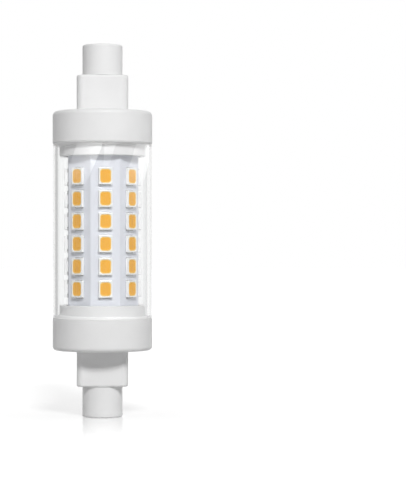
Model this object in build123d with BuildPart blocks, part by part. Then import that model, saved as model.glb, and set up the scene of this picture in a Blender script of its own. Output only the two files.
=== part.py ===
from build123d import *

import math
import os

os.makedirs("parts", exist_ok=True)

# A double ended linear LED bulb, in millimetres.
# It stands upright: +Z runs along its axis, and z = 0 is the end face of the lower pin.
# The view from the front looks along +Y, onto the wide side of the collars.

# Whole bulb
bulb_length = 78.0

# Clear tube between the two cups
tube_diameter = 20.7
tube_wall = 0.85

# End cap: pin, flattened collar, round cup and the spigot inside the tube
pin_diameter = 8.4
pin_length = 6.5
pin_edge = 0.3
collar_width = 10.75
collar_flat_step = 0.2
collar_length = 7.45
collar_corner_radius = 1.4
collar_edge_rise = 0.4
collar_edge_reach = 0.15
collar_root = 0.35
collar_wall = 1.5
cup_step = 0.1
cup_length = 6.7
cup_shoulder_radius = 0.9
end_wall = 1.2
spigot_clearance = 0.5
spigot_length = 2.8
ledge_height = 1.25
ledge_width = 1.45
wire_notch_width = 4.0

# Ring of vent holes in the end face of each cup
vent_count = 8
vent_diameter = 0.9
vent_sides = 8
vent_offset = 0.14
vent_groove_length = 1.1

# Drawn metal contact in the mouth of each pin
contact_diameter = 6.3
contact_wall = 0.3
contact_recess = 0.25
contact_depth = 5.0
tail_width = 1.4
tail_reach = 1.5

# Folded metal core board that carries the LEDs
facet_count = 8
board_width = 14.4
board_thickness = 1.0
board_bend_radius = 0.6
board_turn = 4.5
board_clearance = 0.09
board_play = 0.1
board_seam = 0.25
seam_corner = 4

# LED package: white housing, phosphor window and tinned terminals
led_pitch = 4.67
led_row_shift = -0.4
led_end_margin = 0.6
led_length = 3.5
led_width = 2.8
led_height = 0.8
window_end_rim = 0.275
window_side_rim = 0.25
window_corner = 0.5
window_depth = 0.14
phosphor_drop = 0.03
terminal_length = 0.9
terminal_width = 2.2
terminal_thickness = 0.15
lower_terminal_reach = 0.2
upper_terminal_reach = 0.12

# Driver inside the folded board, in a sleeve of insulating film folded to the same sides
sleeve_overhang = 3.5
sleeve_wall = 0.25
sleeve_clearance = 0.05
driver_length = 30.0
driver_thickness = 1.0
driver_clearance = 0.03
part_gap = 0.4
part_clearance = 0.33

# Parts on the back of the driver board
capacitor_clearance = 0.6
capacitor_length = 9.0
capacitor_lead_spacing = 2.0
choke_width = 5.0
choke_length = 5.0
choke_leg = 1.3
choke_frame = 0.9
choke_core_step = 0.8
choke_lead_spacing = 2.6
resistor_diameter = 2.2
resistor_length = 5.0
resistor_side = 3.0
resistor_margin = 1.2
film_length = 3.4
film_thickness = 1.6
film_lead_spacing = 2.2

# Parts on the front of the driver board
rectifier_length = 4.7
rectifier_width = 3.9
rectifier_thickness = 1.5
chip_length = 4.9
chip_width = 3.9
chip_thickness = 1.4
diode_length = 3.8
diode_width = 2.4
diode_thickness = 1.9
diode_tab_thickness = 0.15
diode_tab_width = 1.4
diode_tab_stand = 1.1
small_length = 2.0
small_width = 1.25
small_thickness = 0.5
small_end = 0.35
small_gap = 0.65
small_side = -1.5
small_count = 3

# Leads and wires, with eight flats in place of a full round
wire_sides = 8
pin_lead_thickness = 0.2
pin_lead_width = 0.4
pin_lead_foot = 0.6
pin_lead_drop = 0.15
rectifier_lead_pitch = 2.5
chip_lead_pitch = 1.27
chip_leads_per_side = 4
lead_diameter = 0.5
lead_run = 1.3
lead_tip = 0.6
lead_hole_clearance = 0.05
supply_core_diameter = 0.5
supply_cover_diameter = 1.2
supply_overlap = 2.4
supply_side = 3.0
supply_strip = 0.3
supply_drop = 3.6
output_wire_diameter = 0.5
output_wire_spacing = 1.4
output_wire_overlap = 1.5
output_facet = 4

# Levels that follow from the sizes above
cup_bottom = pin_length + collar_length
cup_top = cup_bottom + cup_length
spigot_top = cup_top + spigot_length
floor_top = cup_bottom + end_wall
ledge_top = floor_top + ledge_height
collar_floor = pin_length + end_wall
middle = bulb_length / 2

# The folded board, and the bore and mouth that hold its ends
facet_step = 360 / facet_count
first_facet_angle = -90 + board_turn
first_corner_angle = first_facet_angle + facet_step / 2
board_apothem = board_width / 2
bend_center_reach = (board_apothem - board_bend_radius) / math.cos(math.radians(facet_step / 2))
bore_radius = bend_center_reach + board_bend_radius + board_clearance
mouth_radius = bore_radius - ledge_width
board_length = bulb_length - 2 * ledge_top - board_play
board_top = ledge_top + board_length

# The tube, and what fits into it or follows its outside
tube_inner_radius = tube_diameter / 2 - tube_wall
tube_length = bulb_length - 2 * cup_top
cup_radius = tube_diameter / 2 + cup_step
collar_depth = pin_diameter + 2 * collar_flat_step
spigot_radius = tube_inner_radius - spigot_clearance

# As many LED rows as the clear length between the spigots takes
window_length = led_length - 2 * window_end_rim
window_width = led_width - 2 * window_side_rim
row_room = bulb_length - 2 * (spigot_top + led_end_margin) - led_length
led_rows = 1 + int(row_room / led_pitch)
row_heights = [
    middle + led_row_shift + (row - (led_rows - 1) / 2) * led_pitch for row in range(led_rows)
]

# Room inside the sleeve, and the driver board across it
sleeve_apothem = board_apothem - board_thickness - sleeve_clearance
sleeve_room = sleeve_apothem - sleeve_wall
sleeve_length = driver_length + 2 * sleeve_overhang
driver_face = driver_thickness / 2
driver_width = 2 * (math.sqrt(sleeve_room**2 - driver_face**2) - driver_clearance)
driver_bottom = middle - driver_length / 2
driver_top = driver_bottom + driver_length

# Parts on the back, one above the other from the driver board's lower end
capacitor_diameter = sleeve_room - driver_face - capacitor_clearance
capacitor_axis = driver_face + capacitor_diameter / 2
resistor_axis = driver_face + resistor_diameter / 2
resistor_lead_reach = resistor_length / 2 + lead_run
resistor_height = driver_bottom + resistor_margin + resistor_lead_reach
choke_height = resistor_height + resistor_lead_reach + lead_diameter / 2 + part_gap + choke_length / 2
choke_stand = math.sqrt(sleeve_room**2 - (choke_width / 2) ** 2) - driver_face - part_clearance
film_side = choke_width / 2 + part_gap + film_thickness / 2
film_reach = film_side + film_thickness / 2
film_stand = math.sqrt(sleeve_room**2 - film_reach**2) - driver_face - part_clearance
capacitor_lead_level = choke_height + choke_length / 2 + part_gap + lead_diameter / 2
capacitor_bottom = capacitor_lead_level + lead_run

# Parts on the front, set between the tips of the leads that come through
rectifier_height = resistor_height
diode_height = choke_height - lead_diameter / 2 - part_gap - diode_width / 2
chip_height = capacitor_lead_level + lead_diameter / 2 + part_gap + chip_length / 2
small_height = chip_height + chip_length / 2 + small_gap + small_width / 2

# A piece for the upper end is the lower one turned end over end.
turned_over = Location((0, 0, bulb_length), (180, 0, 0))


def facet_plane(facet, height):
    """Plane over one facet of the board, its x along the bulb and its z outward."""
    angle = math.radians(first_facet_angle + facet * facet_step)
    outward = Vector(math.cos(angle), math.sin(angle), 0)
    return Plane(origin=outward * (board_apothem + height), x_dir=(0, 0, 1), z_dir=outward)


def bent_wire(points, outer_diameter, inner_diameter=0):
    """Wire, or the cover round one, along straight runs that meet in mitres."""
    with BuildPart() as made:
        with BuildLine():
            route = Polyline(*points)
        with BuildSketch(Plane(origin=route @ 0, z_dir=route % 0)):
            RegularPolygon(outer_diameter / 2, wire_sides)
            if inner_diameter:
                RegularPolygon(inner_diameter / 2, wire_sides, mode=Mode.SUBTRACT)
        sweep(path=route, transition=Transition.RIGHT)
    return made.part


def front_package(width, length, thickness, height):
    """Moulded body of a part that lies on the front of the driver board."""
    with BuildPart() as made:
        with BuildSketch(Plane.XZ.offset(driver_face)):
            with Locations((0, height)):
                Rectangle(width, length)
        extrude(amount=thickness)
    return made.part


def side_leads(body_width, body_thickness, heights):
    """Pairs of bent leads that step down from a moulded body to the front of the driver board."""
    root = body_width / 2
    drop = root + pin_lead_drop
    level = driver_face + body_thickness / 2
    with BuildPart() as made:
        for height in heights:
            with BuildSketch(Plane.XY.offset(height - pin_lead_width / 2)):
                with BuildLine():
                    Polyline(
                        (root, -level),
                        (drop, -level),
                        (drop, -driver_face),
                        (drop + pin_lead_foot, -driver_face),
                        (drop + pin_lead_foot, -driver_face - pin_lead_thickness),
                        (drop + pin_lead_thickness, -driver_face - pin_lead_thickness),
                        (drop + pin_lead_thickness, -level - pin_lead_thickness),
                        (root, -level - pin_lead_thickness),
                        close=True,
                    )
                make_face()
                mirror(about=Plane.YZ)
            extrude(amount=pin_lead_width)
    return made.part


# End cap: one moulding with the pin, the flattened collar, the cup and the spigot

shoulder_steps = 2
shoulder_turns = [math.pi / 2 * step / shoulder_steps for step in range(shoulder_steps + 1)]

with BuildPart() as lower_end_cap:
    with BuildSketch(Plane.XY.offset(pin_length)):
        RectangleRounded(collar_width, collar_depth, collar_corner_radius)
    extrude(amount=collar_length)
    collar_end = lower_end_cap.faces().sort_by(Axis.Z)[0]
    chamfer(collar_end.edges(), collar_edge_reach, collar_edge_rise, reference=collar_end)
    with BuildSketch(Plane.XY):
        Circle(pin_diameter / 2)
    extrude(amount=pin_length + end_wall)
    chamfer(lower_end_cap.faces().sort_by(Axis.Z)[0].edges(), pin_edge)
    with BuildSketch(Plane.XZ):
        with BuildLine():
            Polyline(
                (0, cup_bottom),
                *[
                    (
                        cup_radius - cup_shoulder_radius * (1 - math.sin(turn)),
                        cup_bottom + cup_shoulder_radius * (1 - math.cos(turn)),
                    )
                    for turn in shoulder_turns
                ],
                (cup_radius, cup_top),
                (spigot_radius, cup_top),
                (spigot_radius, spigot_top),
                (bore_radius, spigot_top),
                (bore_radius, ledge_top),
                (mouth_radius, ledge_top),
                (mouth_radius, floor_top),
                (0, floor_top),
                close=True,
            )
        make_face()
    revolve(axis=Axis.Z)
    cup_face = lower_end_cap.faces().filter_by(Plane.XY).group_by(Axis.Z)[2][0]
    chamfer(cup_face.inner_wires()[0].edges(), collar_root)
    # Contact pocket, tail hole and the hollow of the collar
    with BuildSketch(Plane.XY):
        Circle(contact_diameter / 2)
    extrude(amount=contact_depth, mode=Mode.SUBTRACT)
    with BuildSketch(Plane.XY.offset(contact_depth)):
        Rectangle(tail_width, tail_width)
    extrude(amount=collar_floor - contact_depth, mode=Mode.SUBTRACT)
    with BuildSketch(Plane.XY.offset(collar_floor)):
        Rectangle(collar_width - 2 * collar_wall, collar_depth - 2 * collar_wall)
    extrude(amount=floor_top - collar_floor, mode=Mode.SUBTRACT)
    # Wire notches through the ledge, front and back
    with BuildSketch(Plane.XY.offset(floor_top)):
        Rectangle(wire_notch_width, 2 * bore_radius)
        Circle(bore_radius, mode=Mode.INTERSECT)
    extrude(amount=ledge_height, mode=Mode.SUBTRACT)
    # Vents through the end wall, which run on as grooves beside the board
    with BuildSketch(Plane.XY.offset(cup_bottom)):
        with PolarLocations(bore_radius + vent_offset, vent_count):
            RegularPolygon(vent_diameter / 2, vent_sides, rotation=180 / vent_sides)
    extrude(amount=end_wall + ledge_height + vent_groove_length, mode=Mode.SUBTRACT)
lower_end_cap.part.label = "lower_end_cap"
export_step(lower_end_cap.part, "parts/lower_end_cap.step")

with BuildPart() as upper_end_cap:
    add(lower_end_cap.part.moved(turned_over))
upper_end_cap.part.label = "upper_end_cap"
export_step(upper_end_cap.part, "parts/upper_end_cap.step")

# Contact: a drawn cup with a square solder tail

with BuildPart() as lower_contact:
    with BuildSketch(Plane.XZ):
        with BuildLine():
            Polyline(
                (0, contact_depth - contact_wall),
                (contact_diameter / 2 - contact_wall, contact_depth - contact_wall),
                (contact_diameter / 2 - contact_wall, contact_recess),
                (contact_diameter / 2, contact_recess),
                (contact_diameter / 2, contact_depth),
                (0, contact_depth),
                close=True,
            )
        make_face()
    revolve(axis=Axis.Z)
    with BuildSketch(Plane.XY.offset(contact_depth)):
        Rectangle(tail_width, tail_width)
    extrude(amount=collar_floor + tail_reach - contact_depth)
lower_contact.part.label = "lower_contact"
export_step(lower_contact.part, "parts/lower_contact.step")

with BuildPart() as upper_contact:
    add(lower_contact.part.moved(turned_over))
upper_contact.part.label = "upper_contact"
export_step(upper_contact.part, "parts/upper_contact.step")

# Clear tube

with BuildPart() as clear_tube:
    with BuildSketch(Plane.XY.offset(cup_top)):
        Circle(tube_diameter / 2)
        Circle(tube_inner_radius, mode=Mode.SUBTRACT)
    extrude(amount=tube_length)
clear_tube.part.label = "clear_tube"
export_step(clear_tube.part, "parts/clear_tube.step")

# LED board: one sheet folded into a prism, open along one corner

seam_angle = first_corner_angle + seam_corner * facet_step

with BuildPart() as led_board:
    with BuildSketch(Plane.XY.offset(ledge_top)) as board_section:
        RegularPolygon(
            board_apothem, facet_count, major_radius=False, rotation=first_corner_angle
        )
        fillet(board_section.vertices(), board_bend_radius)
        offset(amount=-board_thickness, mode=Mode.SUBTRACT)
        with PolarLocations(board_apothem, 1, start_angle=seam_angle):
            Rectangle(4 * board_thickness, board_seam, mode=Mode.SUBTRACT)
    extrude(amount=board_length)
led_board.part.label = "led_board"
export_step(led_board.part, "parts/led_board.step")

# LEDs: one column on each facet of the board

for facet in range(facet_count):
    with BuildPart() as led_bodies:
        with BuildSketch(facet_plane(facet, terminal_thickness)):
            with Locations(*[(height, 0) for height in row_heights]):
                Rectangle(led_length, led_width)
        extrude(amount=led_height - terminal_thickness)
        with BuildSketch(facet_plane(facet, led_height)) as windows:
            with Locations(*[(height, 0) for height in row_heights]):
                Rectangle(window_length, window_width)
            chamfer(windows.vertices(), window_corner)
        extrude(amount=-window_depth, mode=Mode.SUBTRACT)
    led_bodies.part.label = f"led_bodies_{facet + 1}"
    export_step(led_bodies.part, f"parts/led_bodies_{facet + 1}.step")

    with BuildPart() as led_phosphors:
        with BuildSketch(facet_plane(facet, led_height - window_depth)) as windows:
            with Locations(*[(height, 0) for height in row_heights]):
                Rectangle(window_length, window_width)
            chamfer(windows.vertices(), window_corner)
        extrude(amount=window_depth - phosphor_drop)
    led_phosphors.part.label = f"led_phosphors_{facet + 1}"
    export_step(led_phosphors.part, f"parts/led_phosphors_{facet + 1}.step")

    lower_terminal = -(led_length - terminal_length) / 2 - lower_terminal_reach
    upper_terminal = (led_length - terminal_length) / 2 + upper_terminal_reach
    with BuildPart() as led_terminals:
        with BuildSketch(facet_plane(facet, 0)):
            with Locations(*[(height + lower_terminal, 0) for height in row_heights]):
                Rectangle(terminal_length, terminal_width)
            with Locations(*[(height + upper_terminal, 0) for height in row_heights]):
                Rectangle(terminal_length, terminal_width)
        extrude(amount=terminal_thickness)
    led_terminals.part.label = f"led_terminals_{facet + 1}"
    export_step(led_terminals.part, f"parts/led_terminals_{facet + 1}.step")

# Insulating sleeve round the driver

with BuildPart() as driver_sleeve:
    with BuildSketch(Plane.XY.offset(middle - sleeve_length / 2)):
        RegularPolygon(
            sleeve_apothem, facet_count, major_radius=False, rotation=first_corner_angle
        )
        RegularPolygon(
            sleeve_room,
            facet_count,
            major_radius=False,
            rotation=first_corner_angle,
            mode=Mode.SUBTRACT,
        )
    extrude(amount=sleeve_length)
driver_sleeve.part.label = "driver_sleeve"
export_step(driver_sleeve.part, "parts/driver_sleeve.step")

# Driver board, with a hole for each lead that passes through it

lead_holes = [
    (-capacitor_lead_spacing / 2, capacitor_lead_level),
    (capacitor_lead_spacing / 2, capacitor_lead_level),
    (-choke_lead_spacing / 2, choke_height),
    (choke_lead_spacing / 2, choke_height),
    (-resistor_side, resistor_height - resistor_lead_reach),
    (-resistor_side, resistor_height + resistor_lead_reach),
    (film_side, choke_height - film_lead_spacing / 2),
    (film_side, choke_height + film_lead_spacing / 2),
]

with BuildPart() as driver_board:
    with BuildSketch(Plane.XZ.offset(driver_face)):
        with Locations((0, middle)):
            Rectangle(driver_width, driver_length)
        with Locations(*lead_holes):
            RegularPolygon(
                lead_diameter / 2 + lead_hole_clearance,
                wire_sides,
                major_radius=False,
                mode=Mode.SUBTRACT,
            )
    extrude(amount=-driver_thickness)
driver_board.part.label = "driver_board"
export_step(driver_board.part, "parts/driver_board.step")

# Parts on the back of the driver board

with BuildPart() as filter_capacitor:
    with BuildSketch(Plane.XY.offset(capacitor_bottom)):
        with Locations((0, capacitor_axis)):
            Circle(capacitor_diameter / 2)
    extrude(amount=capacitor_length)
filter_capacitor.part.label = "filter_capacitor"
export_step(filter_capacitor.part, "parts/filter_capacitor.step")

# The choke's core is a pair of E halves, with the winding on the middle leg.
winding_width = choke_width - 2 * choke_frame
winding_length = choke_length - 2 * choke_frame
winding_axis = driver_face + choke_stand / 2

with BuildPart() as choke_core:
    with BuildSketch(Plane.XZ.offset(-driver_face - choke_core_step)):
        with Locations((0, choke_height)):
            Rectangle(choke_width, choke_length)
            Rectangle(winding_width, winding_length, mode=Mode.SUBTRACT)
            Rectangle(choke_leg, winding_length)
    extrude(amount=-(choke_stand - 2 * choke_core_step))
choke_core.part.label = "choke_core"
export_step(choke_core.part, "parts/choke_core.step")

with BuildPart() as choke_winding:
    with BuildSketch(Plane.XY.offset(choke_height - winding_length / 2)):
        with Locations((0, winding_axis)):
            Rectangle(winding_width, choke_stand)
            Rectangle(choke_leg, choke_stand - 2 * choke_core_step, mode=Mode.SUBTRACT)
    extrude(amount=winding_length)
choke_winding.part.label = "choke_winding"
export_step(choke_winding.part, "parts/choke_winding.step")

with BuildPart() as fuse_resistor:
    with BuildSketch(Plane.XY.offset(resistor_height - resistor_length / 2)):
        with Locations((-resistor_side, resistor_axis)):
            Circle(resistor_diameter / 2)
    extrude(amount=resistor_length)
fuse_resistor.part.label = "fuse_resistor"
export_step(fuse_resistor.part, "parts/fuse_resistor.step")

with BuildPart() as film_capacitor:
    with BuildSketch(Plane.XZ.offset(-driver_face)):
        with Locations((film_side, choke_height)):
            Rectangle(film_thickness, film_length)
    extrude(amount=-film_stand)
film_capacitor.part.label = "film_capacitor"
export_step(film_capacitor.part, "parts/film_capacitor.step")

# Leads of the parts on the back, bent down and through the board

lead_end = -driver_face - lead_tip

with BuildPart() as component_leads:
    for side in (-capacitor_lead_spacing / 2, capacitor_lead_spacing / 2):
        add(
            bent_wire(
                [
                    (side, capacitor_axis, capacitor_bottom),
                    (side, capacitor_axis, capacitor_lead_level),
                    (side, lead_end, capacitor_lead_level),
                ],
                lead_diameter,
            )
        )
    for turn in (-1, 1):
        add(
            bent_wire(
                [
                    (-resistor_side, resistor_axis, resistor_height + turn * resistor_length / 2),
                    (-resistor_side, resistor_axis, resistor_height + turn * resistor_lead_reach),
                    (-resistor_side, lead_end, resistor_height + turn * resistor_lead_reach),
                ],
                lead_diameter,
            )
        )
    with BuildSketch(Plane.XZ.offset(-driver_face)):
        with Locations(
            (-choke_lead_spacing / 2, choke_height),
            (choke_lead_spacing / 2, choke_height),
            (film_side, choke_height - film_lead_spacing / 2),
            (film_side, choke_height + film_lead_spacing / 2),
        ):
            RegularPolygon(lead_diameter / 2, wire_sides)
    extrude(amount=driver_thickness + lead_tip)
component_leads.part.label = "component_leads"
export_step(component_leads.part, "parts/component_leads.step")

# Parts soldered flat on the front of the driver board

with BuildPart() as bridge_rectifier:
    add(front_package(rectifier_width, rectifier_length, rectifier_thickness, rectifier_height))
bridge_rectifier.part.label = "bridge_rectifier"
export_step(bridge_rectifier.part, "parts/bridge_rectifier.step")

with BuildPart() as rectifier_leads:
    lead_heights = [rectifier_height + turn * rectifier_lead_pitch / 2 for turn in (-1, 1)]
    add(side_leads(rectifier_width, rectifier_thickness, lead_heights))
rectifier_leads.part.label = "rectifier_leads"
export_step(rectifier_leads.part, "parts/rectifier_leads.step")

with BuildPart() as driver_chip:
    add(front_package(chip_width, chip_length, chip_thickness, chip_height))
driver_chip.part.label = "driver_chip"
export_step(driver_chip.part, "parts/driver_chip.step")

with BuildPart() as chip_leads:
    lead_heights = [
        chip_height + (place - (chip_leads_per_side - 1) / 2) * chip_lead_pitch
        for place in range(chip_leads_per_side)
    ]
    add(side_leads(chip_width, chip_thickness, lead_heights))
chip_leads.part.label = "chip_leads"
export_step(chip_leads.part, "parts/chip_leads.step")

with BuildPart() as flyback_diode:
    add(front_package(diode_length, diode_width, diode_thickness, diode_height))
flyback_diode.part.label = "flyback_diode"
export_step(flyback_diode.part, "parts/flyback_diode.step")

with BuildPart() as diode_terminals:
    with BuildSketch(Plane.XZ.offset(driver_face)):
        tab_place = (diode_length + diode_tab_thickness) / 2
        with Locations((-tab_place, diode_height), (tab_place, diode_height)):
            Rectangle(diode_tab_thickness, diode_tab_width)
    extrude(amount=diode_tab_stand)
diode_terminals.part.label = "diode_terminals"
export_step(diode_terminals.part, "parts/diode_terminals.step")

small_heights = [small_height + place * (small_width + small_gap) for place in range(small_count)]

with BuildPart() as chip_resistors:
    with BuildSketch(Plane.XZ.offset(driver_face)):
        with Locations(*[(small_side, height) for height in small_heights]):
            Rectangle(small_length - 2 * small_end, small_width)
    extrude(amount=small_thickness)
chip_resistors.part.label = "chip_resistors"
export_step(chip_resistors.part, "parts/chip_resistors.step")

with BuildPart() as resistor_ends:
    with BuildSketch(Plane.XZ.offset(driver_face)):
        for turn in (-1, 1):
            end_place = small_side + turn * (small_length - small_end) / 2
            with Locations(*[(end_place, height) for height in small_heights]):
                Rectangle(small_end, small_width)
    extrude(amount=small_thickness)
resistor_ends.part.label = "resistor_ends"
export_step(resistor_ends.part, "parts/resistor_ends.step")

# Supply wires: a bare core from the contact's tail to the driver board, in a cover

core_side = (tail_width + supply_core_diameter) / 2
core_level = driver_face + supply_core_diameter / 2
lower_bend = (core_side, 0, cup_bottom - end_wall)
upper_bend = (supply_side, core_level, driver_bottom - supply_drop)
core_route = [
    (core_side, 0, collar_floor + supply_strip),
    lower_bend,
    upper_bend,
    (supply_side, core_level, driver_bottom + supply_overlap),
]
cover_route = [
    (core_side, 0, collar_floor + tail_reach + supply_strip),
    lower_bend,
    upper_bend,
    (supply_side, core_level, driver_bottom - supply_strip),
]

with BuildPart() as lower_supply_core:
    add(bent_wire(core_route, supply_core_diameter))
lower_supply_core.part.label = "lower_supply_core"
export_step(lower_supply_core.part, "parts/lower_supply_core.step")

with BuildPart() as lower_supply_cover:
    add(bent_wire(cover_route, supply_cover_diameter, supply_core_diameter))
lower_supply_cover.part.label = "lower_supply_cover"
export_step(lower_supply_cover.part, "parts/lower_supply_cover.step")

with BuildPart() as upper_supply_core:
    add(lower_supply_core.part.moved(turned_over))
upper_supply_core.part.label = "upper_supply_core"
export_step(upper_supply_core.part, "parts/upper_supply_core.step")

with BuildPart() as upper_supply_cover:
    add(lower_supply_cover.part.moved(turned_over))
upper_supply_cover.part.label = "upper_supply_cover"
export_step(upper_supply_cover.part, "parts/upper_supply_cover.step")

# Output wires: from the driver, over the upper end of the LED board and onto its back facet

over_board = board_top + (ledge_height + board_play) / 2
wire_rest = facet_plane(output_facet, output_wire_diameter / 2)

with BuildPart() as output_wires:
    for side in (-output_wire_spacing / 2, output_wire_spacing / 2):
        start = Vector(side, driver_face + output_wire_diameter / 2, 0)
        landing = wire_rest.from_local_coords(Vector(0, side, 0))
        add(
            bent_wire(
                [
                    start + Vector(0, 0, driver_top - output_wire_overlap),
                    start + Vector(0, 0, over_board),
                    landing + Vector(0, 0, over_board),
                    landing + Vector(0, 0, board_top - output_wire_overlap),
                ],
                output_wire_diameter,
            )
        )
output_wires.part.label = "output_wires"
export_step(output_wires.part, "parts/output_wires.step")
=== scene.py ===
import math

import bmesh
import bpy
from bpy.props import FloatProperty, FloatVectorProperty, IntProperty, PointerProperty
from mathutils import Matrix, Vector


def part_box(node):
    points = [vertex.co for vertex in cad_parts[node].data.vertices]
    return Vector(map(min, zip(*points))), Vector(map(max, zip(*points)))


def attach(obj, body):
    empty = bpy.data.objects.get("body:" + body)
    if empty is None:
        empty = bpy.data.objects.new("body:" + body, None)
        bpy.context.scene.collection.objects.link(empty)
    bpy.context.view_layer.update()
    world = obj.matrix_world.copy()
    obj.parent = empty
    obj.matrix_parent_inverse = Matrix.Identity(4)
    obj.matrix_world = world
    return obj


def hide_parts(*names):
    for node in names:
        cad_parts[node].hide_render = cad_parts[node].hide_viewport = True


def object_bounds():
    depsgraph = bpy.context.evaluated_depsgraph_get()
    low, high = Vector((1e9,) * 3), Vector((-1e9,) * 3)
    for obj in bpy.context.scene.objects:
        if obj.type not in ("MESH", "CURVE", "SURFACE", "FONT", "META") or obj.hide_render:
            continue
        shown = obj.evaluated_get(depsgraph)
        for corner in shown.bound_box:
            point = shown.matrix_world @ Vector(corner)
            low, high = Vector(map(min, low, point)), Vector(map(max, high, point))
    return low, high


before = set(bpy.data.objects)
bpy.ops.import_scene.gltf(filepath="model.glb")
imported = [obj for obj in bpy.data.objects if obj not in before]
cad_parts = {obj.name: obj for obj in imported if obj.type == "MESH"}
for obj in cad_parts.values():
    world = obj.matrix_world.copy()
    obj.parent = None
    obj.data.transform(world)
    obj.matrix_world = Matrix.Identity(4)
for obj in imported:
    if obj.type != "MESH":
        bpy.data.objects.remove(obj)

bl_info = {
    "name": "Linear LED bulb",
    "version": (1, 0, 0),
    "blender": (4, 5, 0),
    "location": "View3D > Sidebar > LED bulb",
    "description": "Dresses the CAD frame of a double-ended LED bulb and sets its studio",
    "category": "Object",
}

cad_box = [list(corner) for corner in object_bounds()]
MM = 0.001
FACETS = 8
BULB_LENGTH = cad_box[1][2]
# Keeps a dressed face just clear of the one it fits against
CLEARANCE = 0.01 * MM

cap_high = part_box("lower_end_cap")[1]
contact_low, contact_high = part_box("lower_contact")
tube_low, tube_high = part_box("clear_tube")
board_low, board_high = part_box("led_board")
column_low, column_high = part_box("led_bodies_1")

# Points round each kind of ring
CAP_POINTS, TUBE_POINTS, CONTACT_POINTS, LATHE_POINTS, VENT_POINTS = 288, 256, 128, 48, 24

# Glue beads, real in shape, with their near-white a painted highlight for the bright line at the
# tube's ends: inset from the tube's wall in millimetres, and share of the bead's height
OUTER_BEAD = (
    (0.3, 0.02), (-0.01, 0.02), (-0.05, 0.08), (-0.06, 0.4), (-0.03, 0.85), (0.03, 1.0), (0.3, 0.75)
)
INNER_BEAD = ((-0.03, 0.0), (-0.03, 0.9), (0.04, 1.0), (0.2, 0.9), (0.45, 0.6), (0.45, 0.0))
# Waves of the inner bead's edge: number round the tube, start in radians, and height
BEAD_WAVES = ((2, 0.9, 1.0), (5, 2.1, 0.5), (9, 0.0, 0.25))

# Phosphor from its edge inward: inset and rise in millimetres, and how thin it looks
WINDOW_PROFILE = (
    (0.015, -0.09, 1), (0.015, 0, 1), (0.08, -0.016, 0.8), (0.16, -0.026, 0.25),
    (0.3, -0.034, 0.05), (0.7, -0.038, 0),
)
# Terminal from its foot up: inset in millimetres, and share of its thickness
TERMINAL_PROFILE = ((0, 0), (0, 0.35), (0.05, 0.8), (0.12, 1.0))

# Open top of the capacitor's cover: inset and depth in millimetres
CAN_TOP = ((0.42, 0), (0.44, 0.08), (1.2, 0.08), (1.25, 0.11))
# Stations along the resistor, as shares of its length, and those where a painted ring starts
RESISTOR_STATIONS = (
    0, 0.02, 0.06, 0.12, 0.16, 0.2, 0.24, 0.3, 0.36, 0.42, 0.5, 0.56, 0.62, 0.68, 0.74, 0.8, 0.84,
    0.9, 0.96, 0.99, 1,
)
RESISTOR_RINGS = (3, 7, 10, 15)

# Lamps: degrees to the right of the front, degrees up and metres off, then width and height
KEY_PLACE, KEY_SIZE = (8, 34.5, 0.8), (0.15, 0.15)
SIDE_PLACE, SIDE_SIZE = (80, 20, 0.6), (0.3, 0.4)
# Grey cards behind the bulb, as the camera sees them: degrees to the right of the axis
CARDS = (("left_card", -52, -13.5), ("right_card", 7, 17), ("edge_card", 27, 34))
CARD_DISTANCE, CARD_FOOT, CARD_TOP = 0.95, 0.001, 0.5
# Slanted glare strips, a metre off: height, degrees right of the front, share of strength
LEFT_GLARE = (
    (0.14, -30, 32, 1), (0.1156, -56, 3.6, 1), (0.102, -75, -12, 0.9), (0.0888, -96, -30, 0.4),
    (0.078, -112, -50, 0),
)
MIDDLE_GLARE = ((0.14, 33, 62, 1), (0.1156, 6, 36, 1), (0.102, 3, 20, 0.9), (0.095, 0, 12, 0))
RIGHT_GLARE = (
    (0.14, 95, 140, 1), (0.1156, 90, 140, 1), (0.102, 72, 138, 0.9), (0.0888, 55, 120, 0.5),
    (0.078, 40, 95, 0),
)


def length(name, description, default):
    """A size of the bulb, given in millimetres and kept in metres."""
    return FloatProperty(
        name=name, description=description, default=default * MM, min=0, unit="LENGTH", precision=5
    )


def tint(name, description, default):
    """A colour of one finish."""
    return FloatVectorProperty(
        name=name, description=description, default=default, size=3, min=0, max=1, subtype="COLOR"
    )


def turning(name, description, degrees):
    """A turn, given in degrees."""
    return FloatProperty(
        name=name, description=description, default=math.radians(degrees), subtype="ANGLE"
    )


def amount(name, description, default, **limits):
    """A power, a strength or a grey of the studio."""
    return FloatProperty(name=name, description=description, default=default, min=0, **limits)


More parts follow.
